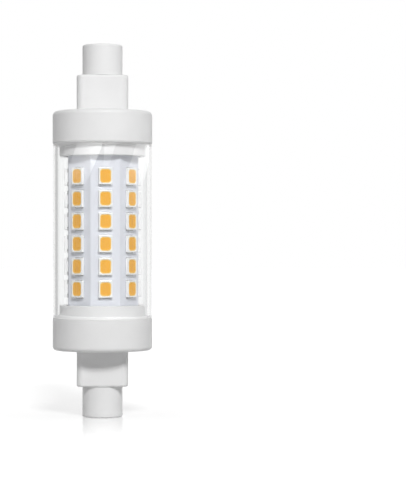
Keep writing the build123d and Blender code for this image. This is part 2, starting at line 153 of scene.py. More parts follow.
class CapSizes(bpy.types.PropertyGroup):
    """Sizes and colour of the two end caps."""

    pin_radius: length("Pin radius", "Half the width of the pin", 4.2)
    pin_length: length("Pin length", "From the pin's end face to the collar", 6.5)
    pin_rounding: length("Pin rounding", "Rounding of the pin's end", 0.38)
    pin_root: length("Pin root", "Rounding where the pin meets the collar", 0.16)
    pin_blend: length("Pin blend", "Softness where the collar's end runs into the pin", 0.25)
    pocket_radius: length("Pocket radius", "Half the width of the contact's pocket", 3.15)
    pocket_depth: length("Pocket depth", "Depth of the contact's pocket", 5.0)
    pocket_rounding: length("Pocket rounding", "Rounding of the pocket's mouth", 0.12)
    collar_width: length("Collar width", "Wide way of the flattened collar", 10.75)
    collar_depth: length("Collar depth", "Narrow way of the flattened collar", 8.8)
    collar_length: length("Collar length", "From the pin's root to the cup", 7.45)
    collar_corner: length("Collar corner", "Rounding of the collar's long corners", 1.4)
    collar_edge: length("Collar edge", "Rounding of the collar's end", 0.45)
    collar_root: length("Collar root", "Rounding where the collar meets the cup", 0.4)
    shoulder: length("Cup shoulder", "Rounding of the cup's shoulder", 0.9)
    rim: length("Cup rim", "Rounding of the cup's rim at the tube", 0.18)
    spigot_radius: length("Spigot radius", "Outer radius of the ring inside the tube", 9.0)
    spigot_edge: length("Spigot edge", "Rounding of the ring's end", 0.2)
    bore_radius: length("Bore radius", "Radius that holds the board", 7.862)
    bore_chamfer: length("Bore chamfer", "Chamfer of the bore's mouth", 0.1)
    mouth_radius: length("Mouth radius", "Radius of the opening below the ledge", 6.412)
    ledge_level: length("Ledge level", "Height of the ledge under the board", 16.4)
    floor_level: length("Floor level", "Height of the cup's inner floor", 15.15)
    hollow_level: length("Hollow level", "Height of the collar's inner floor", 7.7)
    wall: length("Collar wall", "Wall round the hollow of the collar", 1.5)
    tail_slot: length("Tail slot", "Width of the hole for the contact's tail", 1.4)
    notch: length("Wire notch", "Width of the notches through the ledge", 4.0)
    notch_start: length("Notch start", "From the axis to the inner side of a notch", 5.9)
    vent_width: length("Vent width", "Width of a vent hole", 0.9)
    vent_circle: length("Vent circle", "Distance of the vents from the axis", 8.002)
    vent_reach: length("Vent reach", "Height that the vent grooves run up to", 17.5)
    vents: IntProperty(name="Vents", description="Number of vent holes", default=8, min=0)
    plastic: tint("Plastic", "Colour of the moulded caps", (0.86, 0.86, 0.86))


class ContactSizes(bpy.types.PropertyGroup):
    """Sizes and colour of the drawn contacts."""

    sheet: length("Sheet", "Thickness of the drawn sheet", 0.3)
    floor_rounding: length("Floor rounding", "Rounding at the foot of the cup", 0.45)
    dimple: length("Dimple", "Radius of the flat in the floor's dimple", 0.9)
    dimple_depth: length("Dimple depth", "Depth of the floor's dimple", 0.12)
    tail_width: length("Tail width", "Width of the solder tail", 1.4)
    tail_edge: length("Tail edge", "Chamfer and corners of the solder tail", 0.1)
    steel: tint("Steel", "Colour of the polished contacts", (0.66, 0.655, 0.64))


class TubeSizes(bpy.types.PropertyGroup):
    """Sizes and colours of the clear tube and its glue, whose white is a painted highlight at the
    tube's ends.
    """

    wall: length("Wall", "Thickness of the tube's wall", 0.85)
    outer_edge: length("Outer edge", "Rounding of the ends outside", 0.35)
    inner_edge: length("Inner edge", "Rounding of the ends inside", 0.06)
    clear: tint("Clear", "Colour of the clear plastic", (0.985, 0.99, 0.99))
    bead: length("Bead", "Height of the glue bead at the tube's rounded end", 0.14)
    inner_bead: length("Inner bead", "Least height of the glue inside the tube", 0.45)
    bead_wave: length("Bead wave", "How far the inner glue rises and falls", 0.2)
    # The glue's near-white is a painted highlight: it stands in for the bright line where light
    # runs out of the tube's ends
    glue: tint("Glue", "Colour of the white glue as painted highlight", (0.97, 0.97, 0.97))


class BoardSizes(bpy.types.PropertyGroup):
    """Sizes and colour of the folded LED board."""

    apothem: length("Apothem", "From the axis to a facet", 7.2)
    thickness: length("Thickness", "Thickness of the board", 1.0)
    bend: length("Bend", "Outer radius of each fold", 0.6)
    seam: length("Seam", "Width of the open seam", 0.25)
    turn: turning("Turn", "Turn of the board in the caps", 4.5)
    seam_corner: IntProperty(name="Seam corner", description="Corner left open", default=4, min=0)
    mask: tint("Mask", "Colour of the white mask", (0.80, 0.82, 0.88))


class LedSizes(bpy.types.PropertyGroup):
    """Sizes and colours of the LED packages."""

    package_length: length("Package length", "Length along the bulb", 3.5)
    package_width: length("Package width", "Width across the facet", 2.8)
    package_height: length("Package height", "Height over the board", 0.8)
    corner: length("Corner", "Rounding of the housing's upright corners", 0.14)
    edge: length("Edge", "Rounding of the housing's top", 0.09)
    foot: length("Foot", "Height of the housing's narrower foot", 0.25)
    foot_inset: length("Foot inset", "How much the foot is drawn in", 0.04)
    end_rim: length("End rim", "Rim at the short ends", 0.275)
    side_rim: length("Side rim", "Rim at the long sides", 0.25)
    window_corner: length("Window corner", "Corner of the window", 0.62)
    window_lip: length("Window lip", "Rounding of the window's mouth", 0.05)
    window_draft: length("Window draft", "How much the window narrows inward", 0.02)
    window_depth: length("Window depth", "Depth of the window", 0.14)
    phosphor_drop: length("Phosphor drop", "Phosphor below the rim", 0.03)
    terminal_length: length("Terminal length", "Length of a terminal", 0.9)
    terminal_width: length("Terminal width", "Width of a terminal", 2.2)
    terminal_thickness: length("Terminal thickness", "Thickness of a terminal", 0.15)
    terminal_corner: length("Terminal corner", "Corners of a terminal", 0.08)
    lower_reach: length("Lower reach", "Terminal past the lower end", 0.2)
    upper_reach: length("Upper reach", "Terminal past the upper end", 0.12)
    rows: IntProperty(name="Rows", description="LEDs in a column", default=6, min=1)
    housing: tint("Housing", "Colour of the housings", (0.97, 0.97, 0.965))
    phosphor: tint("Phosphor", "Colour of the phosphor", (1.0, 0.47, 0.006))
    phosphor_edge: tint("Phosphor edge", "Colour where the phosphor is thin", (0.98, 0.82, 0.42))
    # Tin is darkened past bare tinned metal, so the terminals also paint the shade that the
    # packages cast below them
    tin_darkened_as_shade: tint("Tin", "Colour of tinned metal darkened as shade", (0.38, 0.39, 0.38))


class DriverSizes(bpy.types.PropertyGroup):
    """Sizes and colours of the hidden driver."""

    can_edge: length("Can edge", "Rounding of the capacitor's can", 0.3)
    can_foot: length("Can foot", "Inset of the flat under the can", 0.9)
    crimp: length("Crimp", "Depth of the groove round the can's foot", 0.2)
    crimp_level: length("Crimp level", "Height where the groove starts", 0.75)
    crimp_width: length("Crimp width", "Width of the groove", 0.8)
    wire: length("Wire", "Width of the choke's wire", 0.2)
    coil_corner: length("Coil corner", "Rounding of the choke's coil", 0.6)
    leg: length("Leg", "Half the width of the core's middle leg", 0.655)
    waist: length("Waist", "How much slimmer the resistor's middle is", 0.14)
    resistor_edge: length("Resistor edge", "Rounding of the resistor's ends", 0.25)
    chip_edge: length("Chip edge", "Rounding of a moulded chip", 0.08)
    chip_corner: length("Chip corner", "Upright corners of a moulded chip", 0.1)
    chip_draft: length("Chip draft", "Slope of a chip's sides", 0.12)
    resin_edge: length("Resin edge", "Rounding of the dipped capacitor", 0.45)
    resin_corner: length("Resin corner", "Upright corners of the dipped capacitor", 0.6)
    resin_draft: length("Resin draft", "Slope of the dipped capacitor's sides", 0.05)
    bands: tint("Bands", "Colour of the resistor's rings", (0.16, 0.07, 0.03))
    can: tint("Can", "Colour of the can's bare top", (0.72, 0.73, 0.74))
    film: tint("Film", "Colour of the sleeve's film", (0.80, 0.79, 0.72))
    laminate: tint("Laminate", "Colour of the driver board", (0.06, 0.26, 0.13))
    epoxy: tint("Epoxy", "Colour of moulded epoxy", (0.045, 0.045, 0.047))
    sleeve_cover: tint("Can cover", "Colour of the capacitor's cover", (0.05, 0.07, 0.20))
    ferrite: tint("Ferrite", "Colour of the choke's core", (0.09, 0.09, 0.10))
    copper: tint("Copper", "Colour of copper wire", (0.72, 0.33, 0.16))
    paint: tint("Paint", "Colour of the resistor's paint", (0.33, 0.45, 0.40))
    resin: tint("Resin", "Colour of the film capacitor", (0.78, 0.54, 0.07))
    cover: tint("Cover", "Colour of the wires' cover", (0.78, 0.78, 0.76))


class StudioSettings(bpy.types.PropertyGroup):
    """Camera, lamps and floor."""

    camera_distance: length("Camera distance", "From the bulb's axis to the camera", 400.0)
    camera_height: length("Camera height", "Camera above the floor", 35.0)
    camera_turn: turning("Camera turn", "Turn of the camera off the bulb", -3.027)
    lens: FloatProperty(
        name="Lens", description="Focal length in millimetres", default=136.84, min=1
    )
    key_power: amount("Key power", "Power of the main softbox", 4.2, subtype="POWER")
    side_power: amount("Side power", "Power of the right softbox", 0.14, subtype="POWER")
    world_level: amount("World level", "Strength of the even light", 0.215)
    floor_reach: length("Floor reach", "Half the width of the floor", 3000.0)
    floor_glow: amount("Floor glow", "White added to the floor near the bulb", 0.75)
    far_glow: amount("Far glow", "White added to the floor far away", 0.97)
    glow_reach: length("Glow reach", "How far from the bulb the far glow is full", 500.0)
    mirror_reach: length("Mirror reach", "How far from the bulb the floor mirrors it", 85.0)
    glare: amount("Glare", "Strength of the slanted glare on the tube", 5.6)
    faint_glare: amount("Faint glare", "Strength of the glare's faint part", 2.3)
    side_glare: amount("Side glare", "Strength of the right strip of glare", 2.6)
    left_card: amount("Left card", "Grey of the left card", 0.5, max=1)
    right_card: amount("Right card", "Grey of the right card", 0.88, max=1)
    edge_card: amount("Edge card", "Grey of the outer right card", 0.5, max=1)
    floor: tint("Floor", "Colour of the floor", (0.7, 0.7, 0.7))


# Mesh helpers


def outline_reach(angle, half_width, half_depth, corner):
    """Distance from the axis to a rounded rectangle in one direction."""
    across, along = abs(math.cos(angle)), abs(math.sin(angle))
    if across > 1e-9 and half_width / across * along <= half_depth - corner:
        return half_width / across
    if along > 1e-9 and half_depth / along * across <= half_width - corner:
        return half_depth / along
    centre_x, centre_y = half_width - corner, half_depth - corner
    toward = across * centre_x + along * centre_y
    return toward + math.sqrt(max(0, toward**2 - centre_x**2 - centre_y**2 + corner**2))


def soft_max(first, second, blend):
    """The larger of two reaches, with their meeting rounded."""
    over = max(0, blend - abs(first - second))
    return max(first, second) + (over**2 / (4 * blend) if blend else 0)


def swept_ring(shape, level, count, core=0, blend=0):
    """One closed ring round the axis, on a rounded rectangle that never dips inside its core."""
    points = []
    for step in range(count):
        angle = 2 * math.pi * step / count
        reach = outline_reach(angle, *shape)
        if core:
            reach = soft_max(reach, core, blend)
        points.append(Vector((reach * math.cos(angle), reach * math.sin(angle), level)))
    return points


def round_ring(radius, level, count):
    """One round closed ring about the axis."""
    return swept_ring((radius, radius, radius), level, count)


def corner_ring(half_x, half_y, corner, level, steps):
    """A rounded rectangle with its points on the corners only."""
    points = []
    for number, (sign_x, sign_y) in enumerate(((1, 1), (-1, 1), (-1, -1), (1, -1))):
        for step in range(steps + 1):
            angle = math.pi / 2 * (number + step / steps)
            x = sign_x * (half_x - corner) + corner * math.cos(angle)
            y = sign_y * (half_y - corner) + corner * math.sin(angle)
            points.append(Vector((x, y, level)))
    return points


def placed(rings, place):
    """Rings moved by a matrix."""
    return [[place @ point for point in ring] for ring in rings]


def quarter(steps):
    """Pairs that run round a quarter circle, from (0, 0) to (1, 1), tangent to the first axis."""
    turns = [math.pi / 2 * step / steps for step in range(steps + 1)]
    return [(math.sin(turn), 1 - math.cos(turn)) for turn in turns]


def add_loft(mesh, rings, loop=False, caps=(False, False)):
    """Skins a row of rings with quads; each ring turns anticlockwise as seen from its way on."""
    rows = [[mesh.verts.new(point) for point in ring] for ring in rings]
    pairs = list(zip(rows, rows[1:])) + ([(rows[-1], rows[0])] if loop else [])
    for low, high in pairs:
        for step in range(len(low)):
            after = (step + 1) % len(low)
            mesh.faces.new((low[step], low[after], high[after], high[step]))
    if caps[0]:
        mesh.faces.new(list(reversed(rows[0])))
    if caps[1]:
        mesh.faces.new(rows[-1])
    return rows


def add_box(mesh, low, high):
    """A plain block that cuts a notch."""
    foot = ((low[0], low[1]), (high[0], low[1]), (high[0], high[1]), (low[0], high[1]))
    rings = [[Vector((x, y, level)) for x, y in foot] for level in (low[2], high[2])]
    add_loft(mesh, rings, caps=(True, True))


def new_object(name, mesh):
    """An object made of a bmesh, which it uses up."""
    data = bpy.data.meshes.new(name)
    mesh.to_mesh(data)
    mesh.free()
    made = bpy.data.objects.new(name, data)
    bpy.context.scene.collection.objects.link(made)
    return made


def shade_smooth(data, crease):
    """Smooth shading that breaks at edges sharper than a crease in degrees."""
    data.shade_smooth()
    data.set_sharp_from_angle(angle=math.radians(crease))


def even_normals(piece):
    """Keeps large faces flat in shading, so that a rounded edge bends no light beyond itself."""
    weigh = piece.modifiers.new("even normals", "WEIGHTED_NORMAL")
    weigh.keep_sharp = True
    weigh.weight = 100


def settle(piece, replaced):
    """Rides a piece on the bulb and hides the CAD nodes it replaces."""
    even_normals(piece)
    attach(piece, "root")
    if replaced:
        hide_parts(*replaced)


def finish_piece(name, mesh, materials, replaced, crease):
    """Turns a bmesh into a smooth-shaded piece that stands for its CAD nodes."""
    bmesh.ops.recalc_face_normals(mesh, faces=mesh.faces)
    piece = new_object(name, mesh)
    shade_smooth(piece.data, crease)
    for material in materials:
        piece.data.materials.append(material)
    settle(piece, replaced)
    return piece


def cut_away(piece, cutter_mesh, crease):
    """Takes a cutter's volume out of a piece for good."""
    bmesh.ops.recalc_face_normals(cutter_mesh, faces=cutter_mesh.faces)
    cutter = new_object("cutter", cutter_mesh)
    piece.modifiers.clear()
    cut = piece.modifiers.new("cut", "BOOLEAN")
    cut.operation = "DIFFERENCE"
    cut.solver = "EXACT"
    cut.use_self = True
    cut.object = cutter
    graph = bpy.context.evaluated_depsgraph_get()
    made = bpy.data.meshes.new_from_object(piece.evaluated_get(graph))
    piece.modifiers.clear()
    piece.data = made
    bpy.data.objects.remove(cutter)
    shade_smooth(made, crease)
    even_normals(piece)


def upper_twin(piece, name, replaced):
    """The upper end's copy of a lower piece, turned end over end."""
    data = piece.data.copy()
    data.transform(Matrix.Translation((0, 0, BULB_LENGTH)) @ Matrix.Rotation(math.pi, 4, "X"))
    twin = bpy.data.objects.new(name, data)
    bpy.context.scene.collection.objects.link(twin)
    settle(twin, replaced)


def facet_frame(facet, apothem, turn):
    """Axes of one facet: x along the bulb, z outward."""
    angle = -math.pi / 2 + turn + facet * 2 * math.pi / FACETS
    outward = Vector((math.cos(angle), math.sin(angle), 0))
    along = Vector((0, 0, 1))
    rotation = Matrix((along, outward.cross(along), outward)).transposed().to_4x4()
    return Matrix.Translation(outward * apothem) @ rotation


# Finishes


def add_node(tree, kind, inputs=None, **settings):
    """A shader node, with its inputs set to values or linked to other nodes' outputs."""
    made = tree.nodes.new(kind)
    for setting, value in settings.items():
        setattr(made, setting, value)
    for key, value in (inputs or {}).items():
        if isinstance(value, bpy.types.NodeSocket):
            tree.links.new(value, made.inputs[key])
        else:
            made.inputs[key].default_value = value
    return made


def calculate(tree, operation, first, second):
    """One step of arithmetic between two values."""
    return add_node(tree, "ShaderNodeMath", {0: first, 1: second}, operation=operation).outputs[0]


def brought(tree, value, low, high, start=0.0, end=1.0):
    """A value brought from one range to another."""
    span = {"Value": value, "From Min": start, "From Max": end, "To Min": low, "To Max": high}
    return add_node(tree, "ShaderNodeMapRange", span).outputs["Result"]


def mixed(tree, share, first, second):
    """Two shaders mixed by a share."""
    return add_node(tree, "ShaderNodeMixShader", {0: share, 1: first, 2: second}).outputs["Shader"]


def show(tree, surface):
    """Makes a shader the material's surface."""
    tree.links.new(surface, tree.nodes["Material Output"].inputs["Surface"])


def new_finish(name, colour, roughness, metallic=0.0):
    """A material with its shader and a place to hang nodes on."""
    material = bpy.data.materials.new(name)
    material.use_nodes = True
    tree = material.node_tree
    shader = tree.nodes["Principled BSDF"]
    shader.inputs["Base Color"].default_value = (*colour, 1)
    shader.inputs["Roughness"].default_value = roughness
    shader.inputs["Metallic"].default_value = metallic
    return material, tree, shader


def noise(tree, scale, detail=3, stretch=(1, 1, 1)):
    """Noise in the piece's own coordinates."""
    place = add_node(tree, "ShaderNodeTexCoord").outputs["Object"]
    mapping = add_node(tree, "ShaderNodeMapping", {"Vector": place, "Scale": stretch})
    look = {"Vector": mapping.outputs["Vector"], "Scale": scale, "Detail": detail}
    return add_node(tree, "ShaderNodeTexNoise", look).outputs["Fac"]


def spread(tree, value, low, high):
    """A noise brought to a range; it seldom leaves the middle of its own."""
    return brought(tree, value, low, high, 0.3, 0.7)


def vary_colour(tree, shader, value, first, second, start=0.3, end=0.7):
    """Colour that drifts between two tones."""
    ramp = add_node(tree, "ShaderNodeValToRGB", {"Fac": value})
    stops = zip(ramp.color_ramp.elements, (start, end), (first, second))
    for stop, position, colour in stops:
        stop.position = position
        stop.color = (*colour, 1)
    tree.links.new(ramp.outputs["Color"], shader.inputs["Base Color"])


def add_bump(tree, shader, value, distance):
    """Fine relief, in metres."""
    relief = {"Height": value, "Strength": 1.0, "Distance": distance}
    bump = add_node(tree, "ShaderNodeBump", relief)
    tree.links.new(bump.outputs["Normal"], shader.inputs["Normal"])


def shade(colour, factor):
    """A lighter or darker tone of a colour."""
    return tuple(min(1, value * factor) for value in colour)


def moulded(name, colour, roughness, grain=2200, relief=4e-6, drift=0.02):
    """Moulded plastic: a fine even grain, and a slight drift of tone and gloss."""
    material, tree, shader = new_finish(name, colour, roughness)
    shader.inputs["Specular IOR Level"].default_value = 0.3
    vary_colour(tree, shader, noise(tree, 160), shade(colour, 1 - drift), shade(colour, 1 + drift))
    gloss = spread(tree, noise(tree, 420), roughness - 0.04, roughness + 0.04)
    tree.links.new(gloss, shader.inputs["Roughness"])
    add_bump(tree, shader, noise(tree, grain, 2), relief)
    return material


def metal(name, colour, roughness, stretch=(1, 1, 1), relief=2e-6, scale=3000):
    """Metal with faint drawing or plating marks."""
    material, tree, shader = new_finish(name, colour, roughness, 1.0)
    vary_colour(tree, shader, noise(tree, 600), shade(colour, 0.9), shade(colour, 1.06))
    gloss = spread(tree, noise(tree, 900), roughness * 0.7, roughness * 1.3)
    tree.links.new(gloss, shader.inputs["Roughness"])
    add_bump(tree, shader, noise(tree, scale, 2, stretch), relief)
    return material


def clear_plastic(name, colour):
    """Clear tube: refracts, and lets lamps through to what is inside."""
    material, tree, shader = new_finish(name, colour, 0.0)
    shader.inputs["Transmission Weight"].default_value = 1.0
    shader.inputs["IOR"].default_value = 1.52
    add_bump(tree, shader, noise(tree, 90, 1, (1, 1, 0.3)), 2e-6)
    shadow = add_node(tree, "ShaderNodeLightPath").outputs["Is Shadow Ray"]
    clear = add_node(tree, "ShaderNodeBsdfTransparent").outputs["BSDF"]
    show(tree, mixed(tree, shadow, shader.outputs["BSDF"], clear))
    return material


def phosphor_finish(name, deep, thin):
    """Phosphor in silicone: deep in the middle, paler at its edge, with a fine powder grain."""
    material, tree, shader = new_finish(name, deep, 0.5)
    shader.inputs["Specular IOR Level"].default_value = 0.12
    rim = add_node(tree, "ShaderNodeAttribute", attribute_name="rim").outputs["Fac"]
    powder = calculate(tree, "ADD", rim, spread(tree, noise(tree, 1500), -0.12, 0.12))
    vary_colour(tree, shader, powder, deep, thin, 0.1, 1.0)
    add_bump(tree, shader, noise(tree, 4000, 2), 3e-6)
    return material


def dress(nodes, material):
    """Gives CAD nodes a finish in place of their plain colour."""
    for node in nodes:
        for slot in bpy.data.objects[node].material_slots:
            slot.material = material


def seen_directly(tree):
    """1 for rays from the camera, straight or by mirror or tube, and 0 for light on the bulb."""
    path = add_node(tree, "ShaderNodeLightPath").outputs
    total = path["Is Camera Ray"]
    for output in ("Is Glossy Ray", "Is Transmission Ray"):
        total = calculate(tree, "MAXIMUM", total, path[output])
    straight = calculate(tree, "LESS_THAN", path["Diffuse Depth"], 0.5)
    return calculate(tree, "MULTIPLY", total, straight)


# Operators


class BULB_OT_end_caps(bpy.types.Operator):
    """Two white end caps with pin, flattened collar, vented cup and spigot"""

    bl_idname = "bulb.end_caps"
    bl_label = "End caps"

    def outside(self, size):
        """Rings of the outside, from the pocket's mouth to the ring inside the tube."""
        rings = []
        collar_end = size.pin_length + size.collar_length
        cup, tube_end, top = cap_high[0], tube_low[2], cap_high[2]

        def circle(radius, level):
            rings.append(round_ring(radius, level, CAP_POINTS))

        def collar(offset, level, core=0.0):
            half_width, half_depth = size.collar_width / 2, size.collar_depth / 2
            shape = (half_width + offset, half_depth + offset, size.collar_corner + offset)
            rings.append(swept_ring(shape, level, CAP_POINTS, core, size.pin_blend))

        for near, far in quarter(3):
            mouth = size.pocket_rounding
            circle(size.pocket_radius + mouth * far, mouth * (1 - near))
        for near, far in quarter(6):
            circle(size.pin_radius - size.pin_rounding * (1 - near), size.pin_rounding * far)
        for near, far in quarter(3):
            level = size.pin_length - size.pin_root * (1 - near)
            circle(size.pin_radius + size.pin_root * far, level)
        core = size.pin_radius + size.pin_root
        for near, far in quarter(6):
            collar(size.collar_edge * (near - 1), size.pin_length + size.collar_edge * far, core)
            core = size.pin_radius
        for near, far in quarter(5):
            collar(size.collar_root * far, collar_end - size.collar_root * (1 - near))
        shoulder_start = cup - size.shoulder
        foot = size.collar_width / 2 + size.collar_root
        for share in (0.35, 0.7):
            circle(foot + (shoulder_start - foot) * share, collar_end)
        for near, far in quarter(10):
            circle(shoulder_start + size.shoulder * near, collar_end + size.shoulder * far)
        for near, far in quarter(4):
            circle(cup - size.rim * far, tube_end - size.rim * (1 - near))
        circle(size.spigot_radius, tube_end)
        for near, far in quarter(3):
            circle(size.spigot_radius - size.spigot_edge * far, top - size.spigot_edge * (1 - near))
        return rings

    def inside(self, size):
        """Rings of the inside, from the ring inside the tube back to the pocket."""
        top, bore = cap_high[2], size.bore_radius
        slot, pocket = size.tail_slot / 2, size.pocket_radius
        hollow_x, hollow_y = size.collar_width / 2 - size.wall, size.collar_depth / 2 - size.wall
        hollow_corner, slot_corner = 0.3 * MM, 0.08 * MM
        rows = [
            (bore + size.bore_chamfer,) * 3 + (top,),
            (bore,) * 3 + (top - size.bore_chamfer,),
            (bore,) * 3 + (size.ledge_level,),
            (size.mouth_radius,) * 3 + (size.ledge_level,),
            (size.mouth_radius,) * 3 + (size.floor_level,),
            (hollow_x, hollow_y, hollow_corner, size.floor_level),
            (hollow_x, hollow_y, hollow_corner, size.hollow_level),
            (slot, slot, slot_corner, size.hollow_level),
            (slot, slot, slot_corner, size.pocket_depth),
            (pocket,) * 3 + (size.pocket_depth,),
        ]
        return [swept_ring(shape, level, CAP_POINTS) for *shape, level in rows]

    def openings(self, size):
        """Vent holes through the cup's end, and notches through the ledge."""
        mesh = bmesh.new()
        start = size.pin_length + size.collar_length - 0.1 * MM
        levels, radius = (start, size.vent_reach), size.vent_width / 2
        hole = [round_ring(radius, level, VENT_POINTS) for level in levels]
        for place in range(size.vents):
            angle = 2 * math.pi * place / size.vents
            middle = Vector((math.cos(angle), math.sin(angle), 0)) * size.vent_circle
            add_loft(mesh, placed(hole, Matrix.Translation(middle)), caps=(True, True))
        reach, bottom = size.bore_radius - 2 * CLEARANCE, size.floor_level + CLEARANCE
        for near, far in ((-reach, -size.notch_start), (size.notch_start, reach)):
            high = (size.notch / 2, far, size.ledge_level + 5 * CLEARANCE)
            add_box(mesh, (-size.notch / 2, near, bottom), high)
        return mesh

    def execute(self, context):
        size = context.scene.bulb_caps
        plastic = moulded("cap moulding", size.plastic, 0.34)
        mesh = bmesh.new()
        add_loft(mesh, self.outside(size) + self.inside(size), loop=True)
        lower = finish_piece("lower_cap", mesh, [plastic], ["lower_end_cap"], 40)
        cut_away(lower, self.openings(size), 40)
        upper_twin(lower, "upper_cap", ["upper_end_cap"])
        return {"FINISHED"}


class BULB_OT_contacts(bpy.types.Operator):
    """Drawn metal contacts in the mouths of the pins"""

    bl_idname = "bulb.contacts"
    bl_label = "Contacts"

    def cup(self, size, outer, floor, back):
        """Rings of the drawn cup, from the dimple in its floor over its lip and round its back."""
        inner, mouth, half = outer - size.sheet, contact_low[2], size.sheet / 2
        dimple = size.dimple
        dip = floor - size.dimple_depth
        profile = [(dimple, dip), (dimple + 0.1 * MM, dip), (dimple + 0.35 * MM, floor)]
        for near, far in quarter(6):
            radius = inner - size.floor_rounding * (1 - near)
            profile.append((radius, floor - size.floor_rounding * far))
        for step in range(9):
            turn = math.pi * step / 8
            level = mouth + half - half * math.sin(turn)
            profile.append((inner + half - half * math.cos(turn), level))
        profile += [(outer, back - size.sheet), (outer - size.sheet, back), (dimple, back)]
        return [round_ring(radius, level, CONTACT_POINTS) for radius, level in profile]

    def tail(self, size, back):
        """Rings of the solder tail, which runs up from the cup's back."""
        half, end, edge = size.tail_width / 2 - CLEARANCE, contact_high[2], size.tail_edge
        rows = ((half, back), (half, end - edge), (half - edge, end))
        return [corner_ring(reach, reach, edge, level, 3) for reach, level in rows]

    def execute(self, context):
        size = context.scene.bulb_contacts
        floor = context.scene.bulb_caps.pocket_depth - size.sheet
        back = floor + size.sheet - CLEARANCE
        mesh = bmesh.new()
        add_loft(mesh, self.cup(size, contact_high[0] - CLEARANCE, floor, back), caps=(True, True))
        add_loft(mesh, self.tail(size, back), caps=(True, True))
        steel = metal("polished contact", size.steel, 0.14)
        lower = finish_piece(
            "lower_cup_contact", mesh, [steel], ["lower_contact"], 40
        )
        upper_twin(lower, "upper_cup_contact", ["upper_contact"])
        return {"FINISHED"}


class BULB_OT_tube(bpy.types.Operator):
    """Clear tube between the two cups, with the glue at its ends, whose white is a painted
    highlight
    """

    bl_idname = "bulb.tube"
    bl_label = "Clear tube"

    def wall(self, size, outer, inner, low, high):
        """Rings of the tube's wall, up the outside and down the inside, with rounded ends."""
        profile = []
        for radius, level, out, up, edge in (
            (outer, low, 1, -1, size.outer_edge),
            (outer, high, 1, 1, size.outer_edge),
            (inner, high, -1, 1, size.inner_edge),
            (inner, low, -1, -1, size.inner_edge),
        ):
            for near, far in quarter(6):
                in_share, down_share = (far, 1 - near) if out == up else (1 - near, far)
                profile.append((radius - out * edge * in_share, level - up * edge * down_share))
        return [round_ring(radius, level, TUBE_POINTS) for radius, level in profile]

    def outer_bead(self, size, outer, end, way):
        """Glue that fills the groove between the cup's rim and the tube's rounded end, near white
        as a painted highlight along the rim.
        """
        return [
            round_ring(outer - inset * MM, end + way * size.bead * share, TUBE_POINTS)
            for inset, share in OUTER_BEAD
        ]

    def inner_bead(self, size, inner, end, way):
        """Glue on the tube's inner wall, with the wavy edge it sets to; its white paints the wavy
        bright band at the tube's end.
        """
        most = sum(height for number, start, height in BEAD_WAVES)
        rings = []
        for inset, share in INNER_BEAD:
            ring = []
            for point in round_ring(inner - inset * MM, end + way * 2 * CLEARANCE, TUBE_POINTS):
                turn = math.atan2(point.y, point.x)
                wave = sum(
                    height * math.sin(number * turn + start) for number, start, height in BEAD_WAVES
                )
                rise = size.inner_bead + size.bead_wave * (1 + wave / most)
                ring.append(point + Vector((0, 0, way * rise * share)))
            rings.append(ring)
        return rings

    def execute(self, context):
        size = context.scene.bulb_tube
        outer, low, high = tube_high[0], tube_low[2], tube_high[2]
        inner = outer - size.wall
        mesh = bmesh.new()
        add_loft(mesh, self.wall(size, outer, inner, low, high), loop=True)
        clear = clear_plastic("clear tube", size.clear)
        tube = finish_piece("tube", mesh, [clear], ["clear_tube"], 60)
        # Lamps already shine through by the shadow rays, so bounced light needn't find them again
        tube.visible_diffuse = False
        # White glue, lighter than the caps, paints the bright line where light runs out of the
        # tube's ends
        white = moulded("white glue as painted highlight", size.glue, 0.4, grain=1200, relief=6e-6)
        for name, end, way in (("lower_glue_painted_highlight", low, 1), ("upper_glue_painted_highlight", high, -1)):
            mesh = bmesh.new()
            add_loft(mesh, self.outer_bead(size, outer, end, way), loop=True)
            add_loft(mesh, self.inner_bead(size, inner, end, way), loop=True)
            finish_piece(name, mesh, [white], None, 50)
        return {"FINISHED"}


class BULB_OT_board(bpy.types.Operator):
    """White board folded into an eight-sided prism, open along one corner"""

    bl_idname = "bulb.board"
    bl_label = "LED board"

    def section(self, size):
        """Outline of the folded sheet, round the outside and back round the inside."""
        step = 2 * math.pi / FACETS
        seam_angle = -math.pi / 2 + size.turn + step * (0.5 + size.seam_corner)
        reach = (size.apothem - size.bend) / math.cos(step / 2)
        outline = []
        for radius in (size.bend, size.bend - size.thickness):
            path = []
            for corner in range(FACETS + 1):
                angle = seam_angle + corner * step
                middle = Vector((math.cos(angle), math.sin(angle), 0)) * reach
                for turn in range(9):
                    bend = angle + step * (turn / 8 - 0.5)
                    if corner == 0 and turn < 4 or corner == FACETS and turn > 4:
                        continue
                    point = middle + Vector((math.cos(bend), math.sin(bend), 0)) * radius
                    if turn == 4 and corner in (0, FACETS):
                        shift = Vector((-math.sin(angle), math.cos(angle), 0)) * size.seam / 2
                        point += shift if corner == 0 else -shift
                    path.append(point)
            outline.append(path)
        return outline[0] + list(reversed(outline[1]))

    def execute(self, context):
        size = context.scene.bulb_board
        outline = self.section(size)
        levels = (board_low[2], board_high[2])
        rings = [[Vector((point.x, point.y, level)) for point in outline] for level in levels]
        mesh = bmesh.new()
        add_loft(mesh, rings, caps=(True, True))
        mask = moulded("white mask", size.mask, 0.38, grain=900, relief=3e-6)
        finish_piece("folded_board", mesh, [mask], ["led_board"], 30)
        return {"FINISHED"}


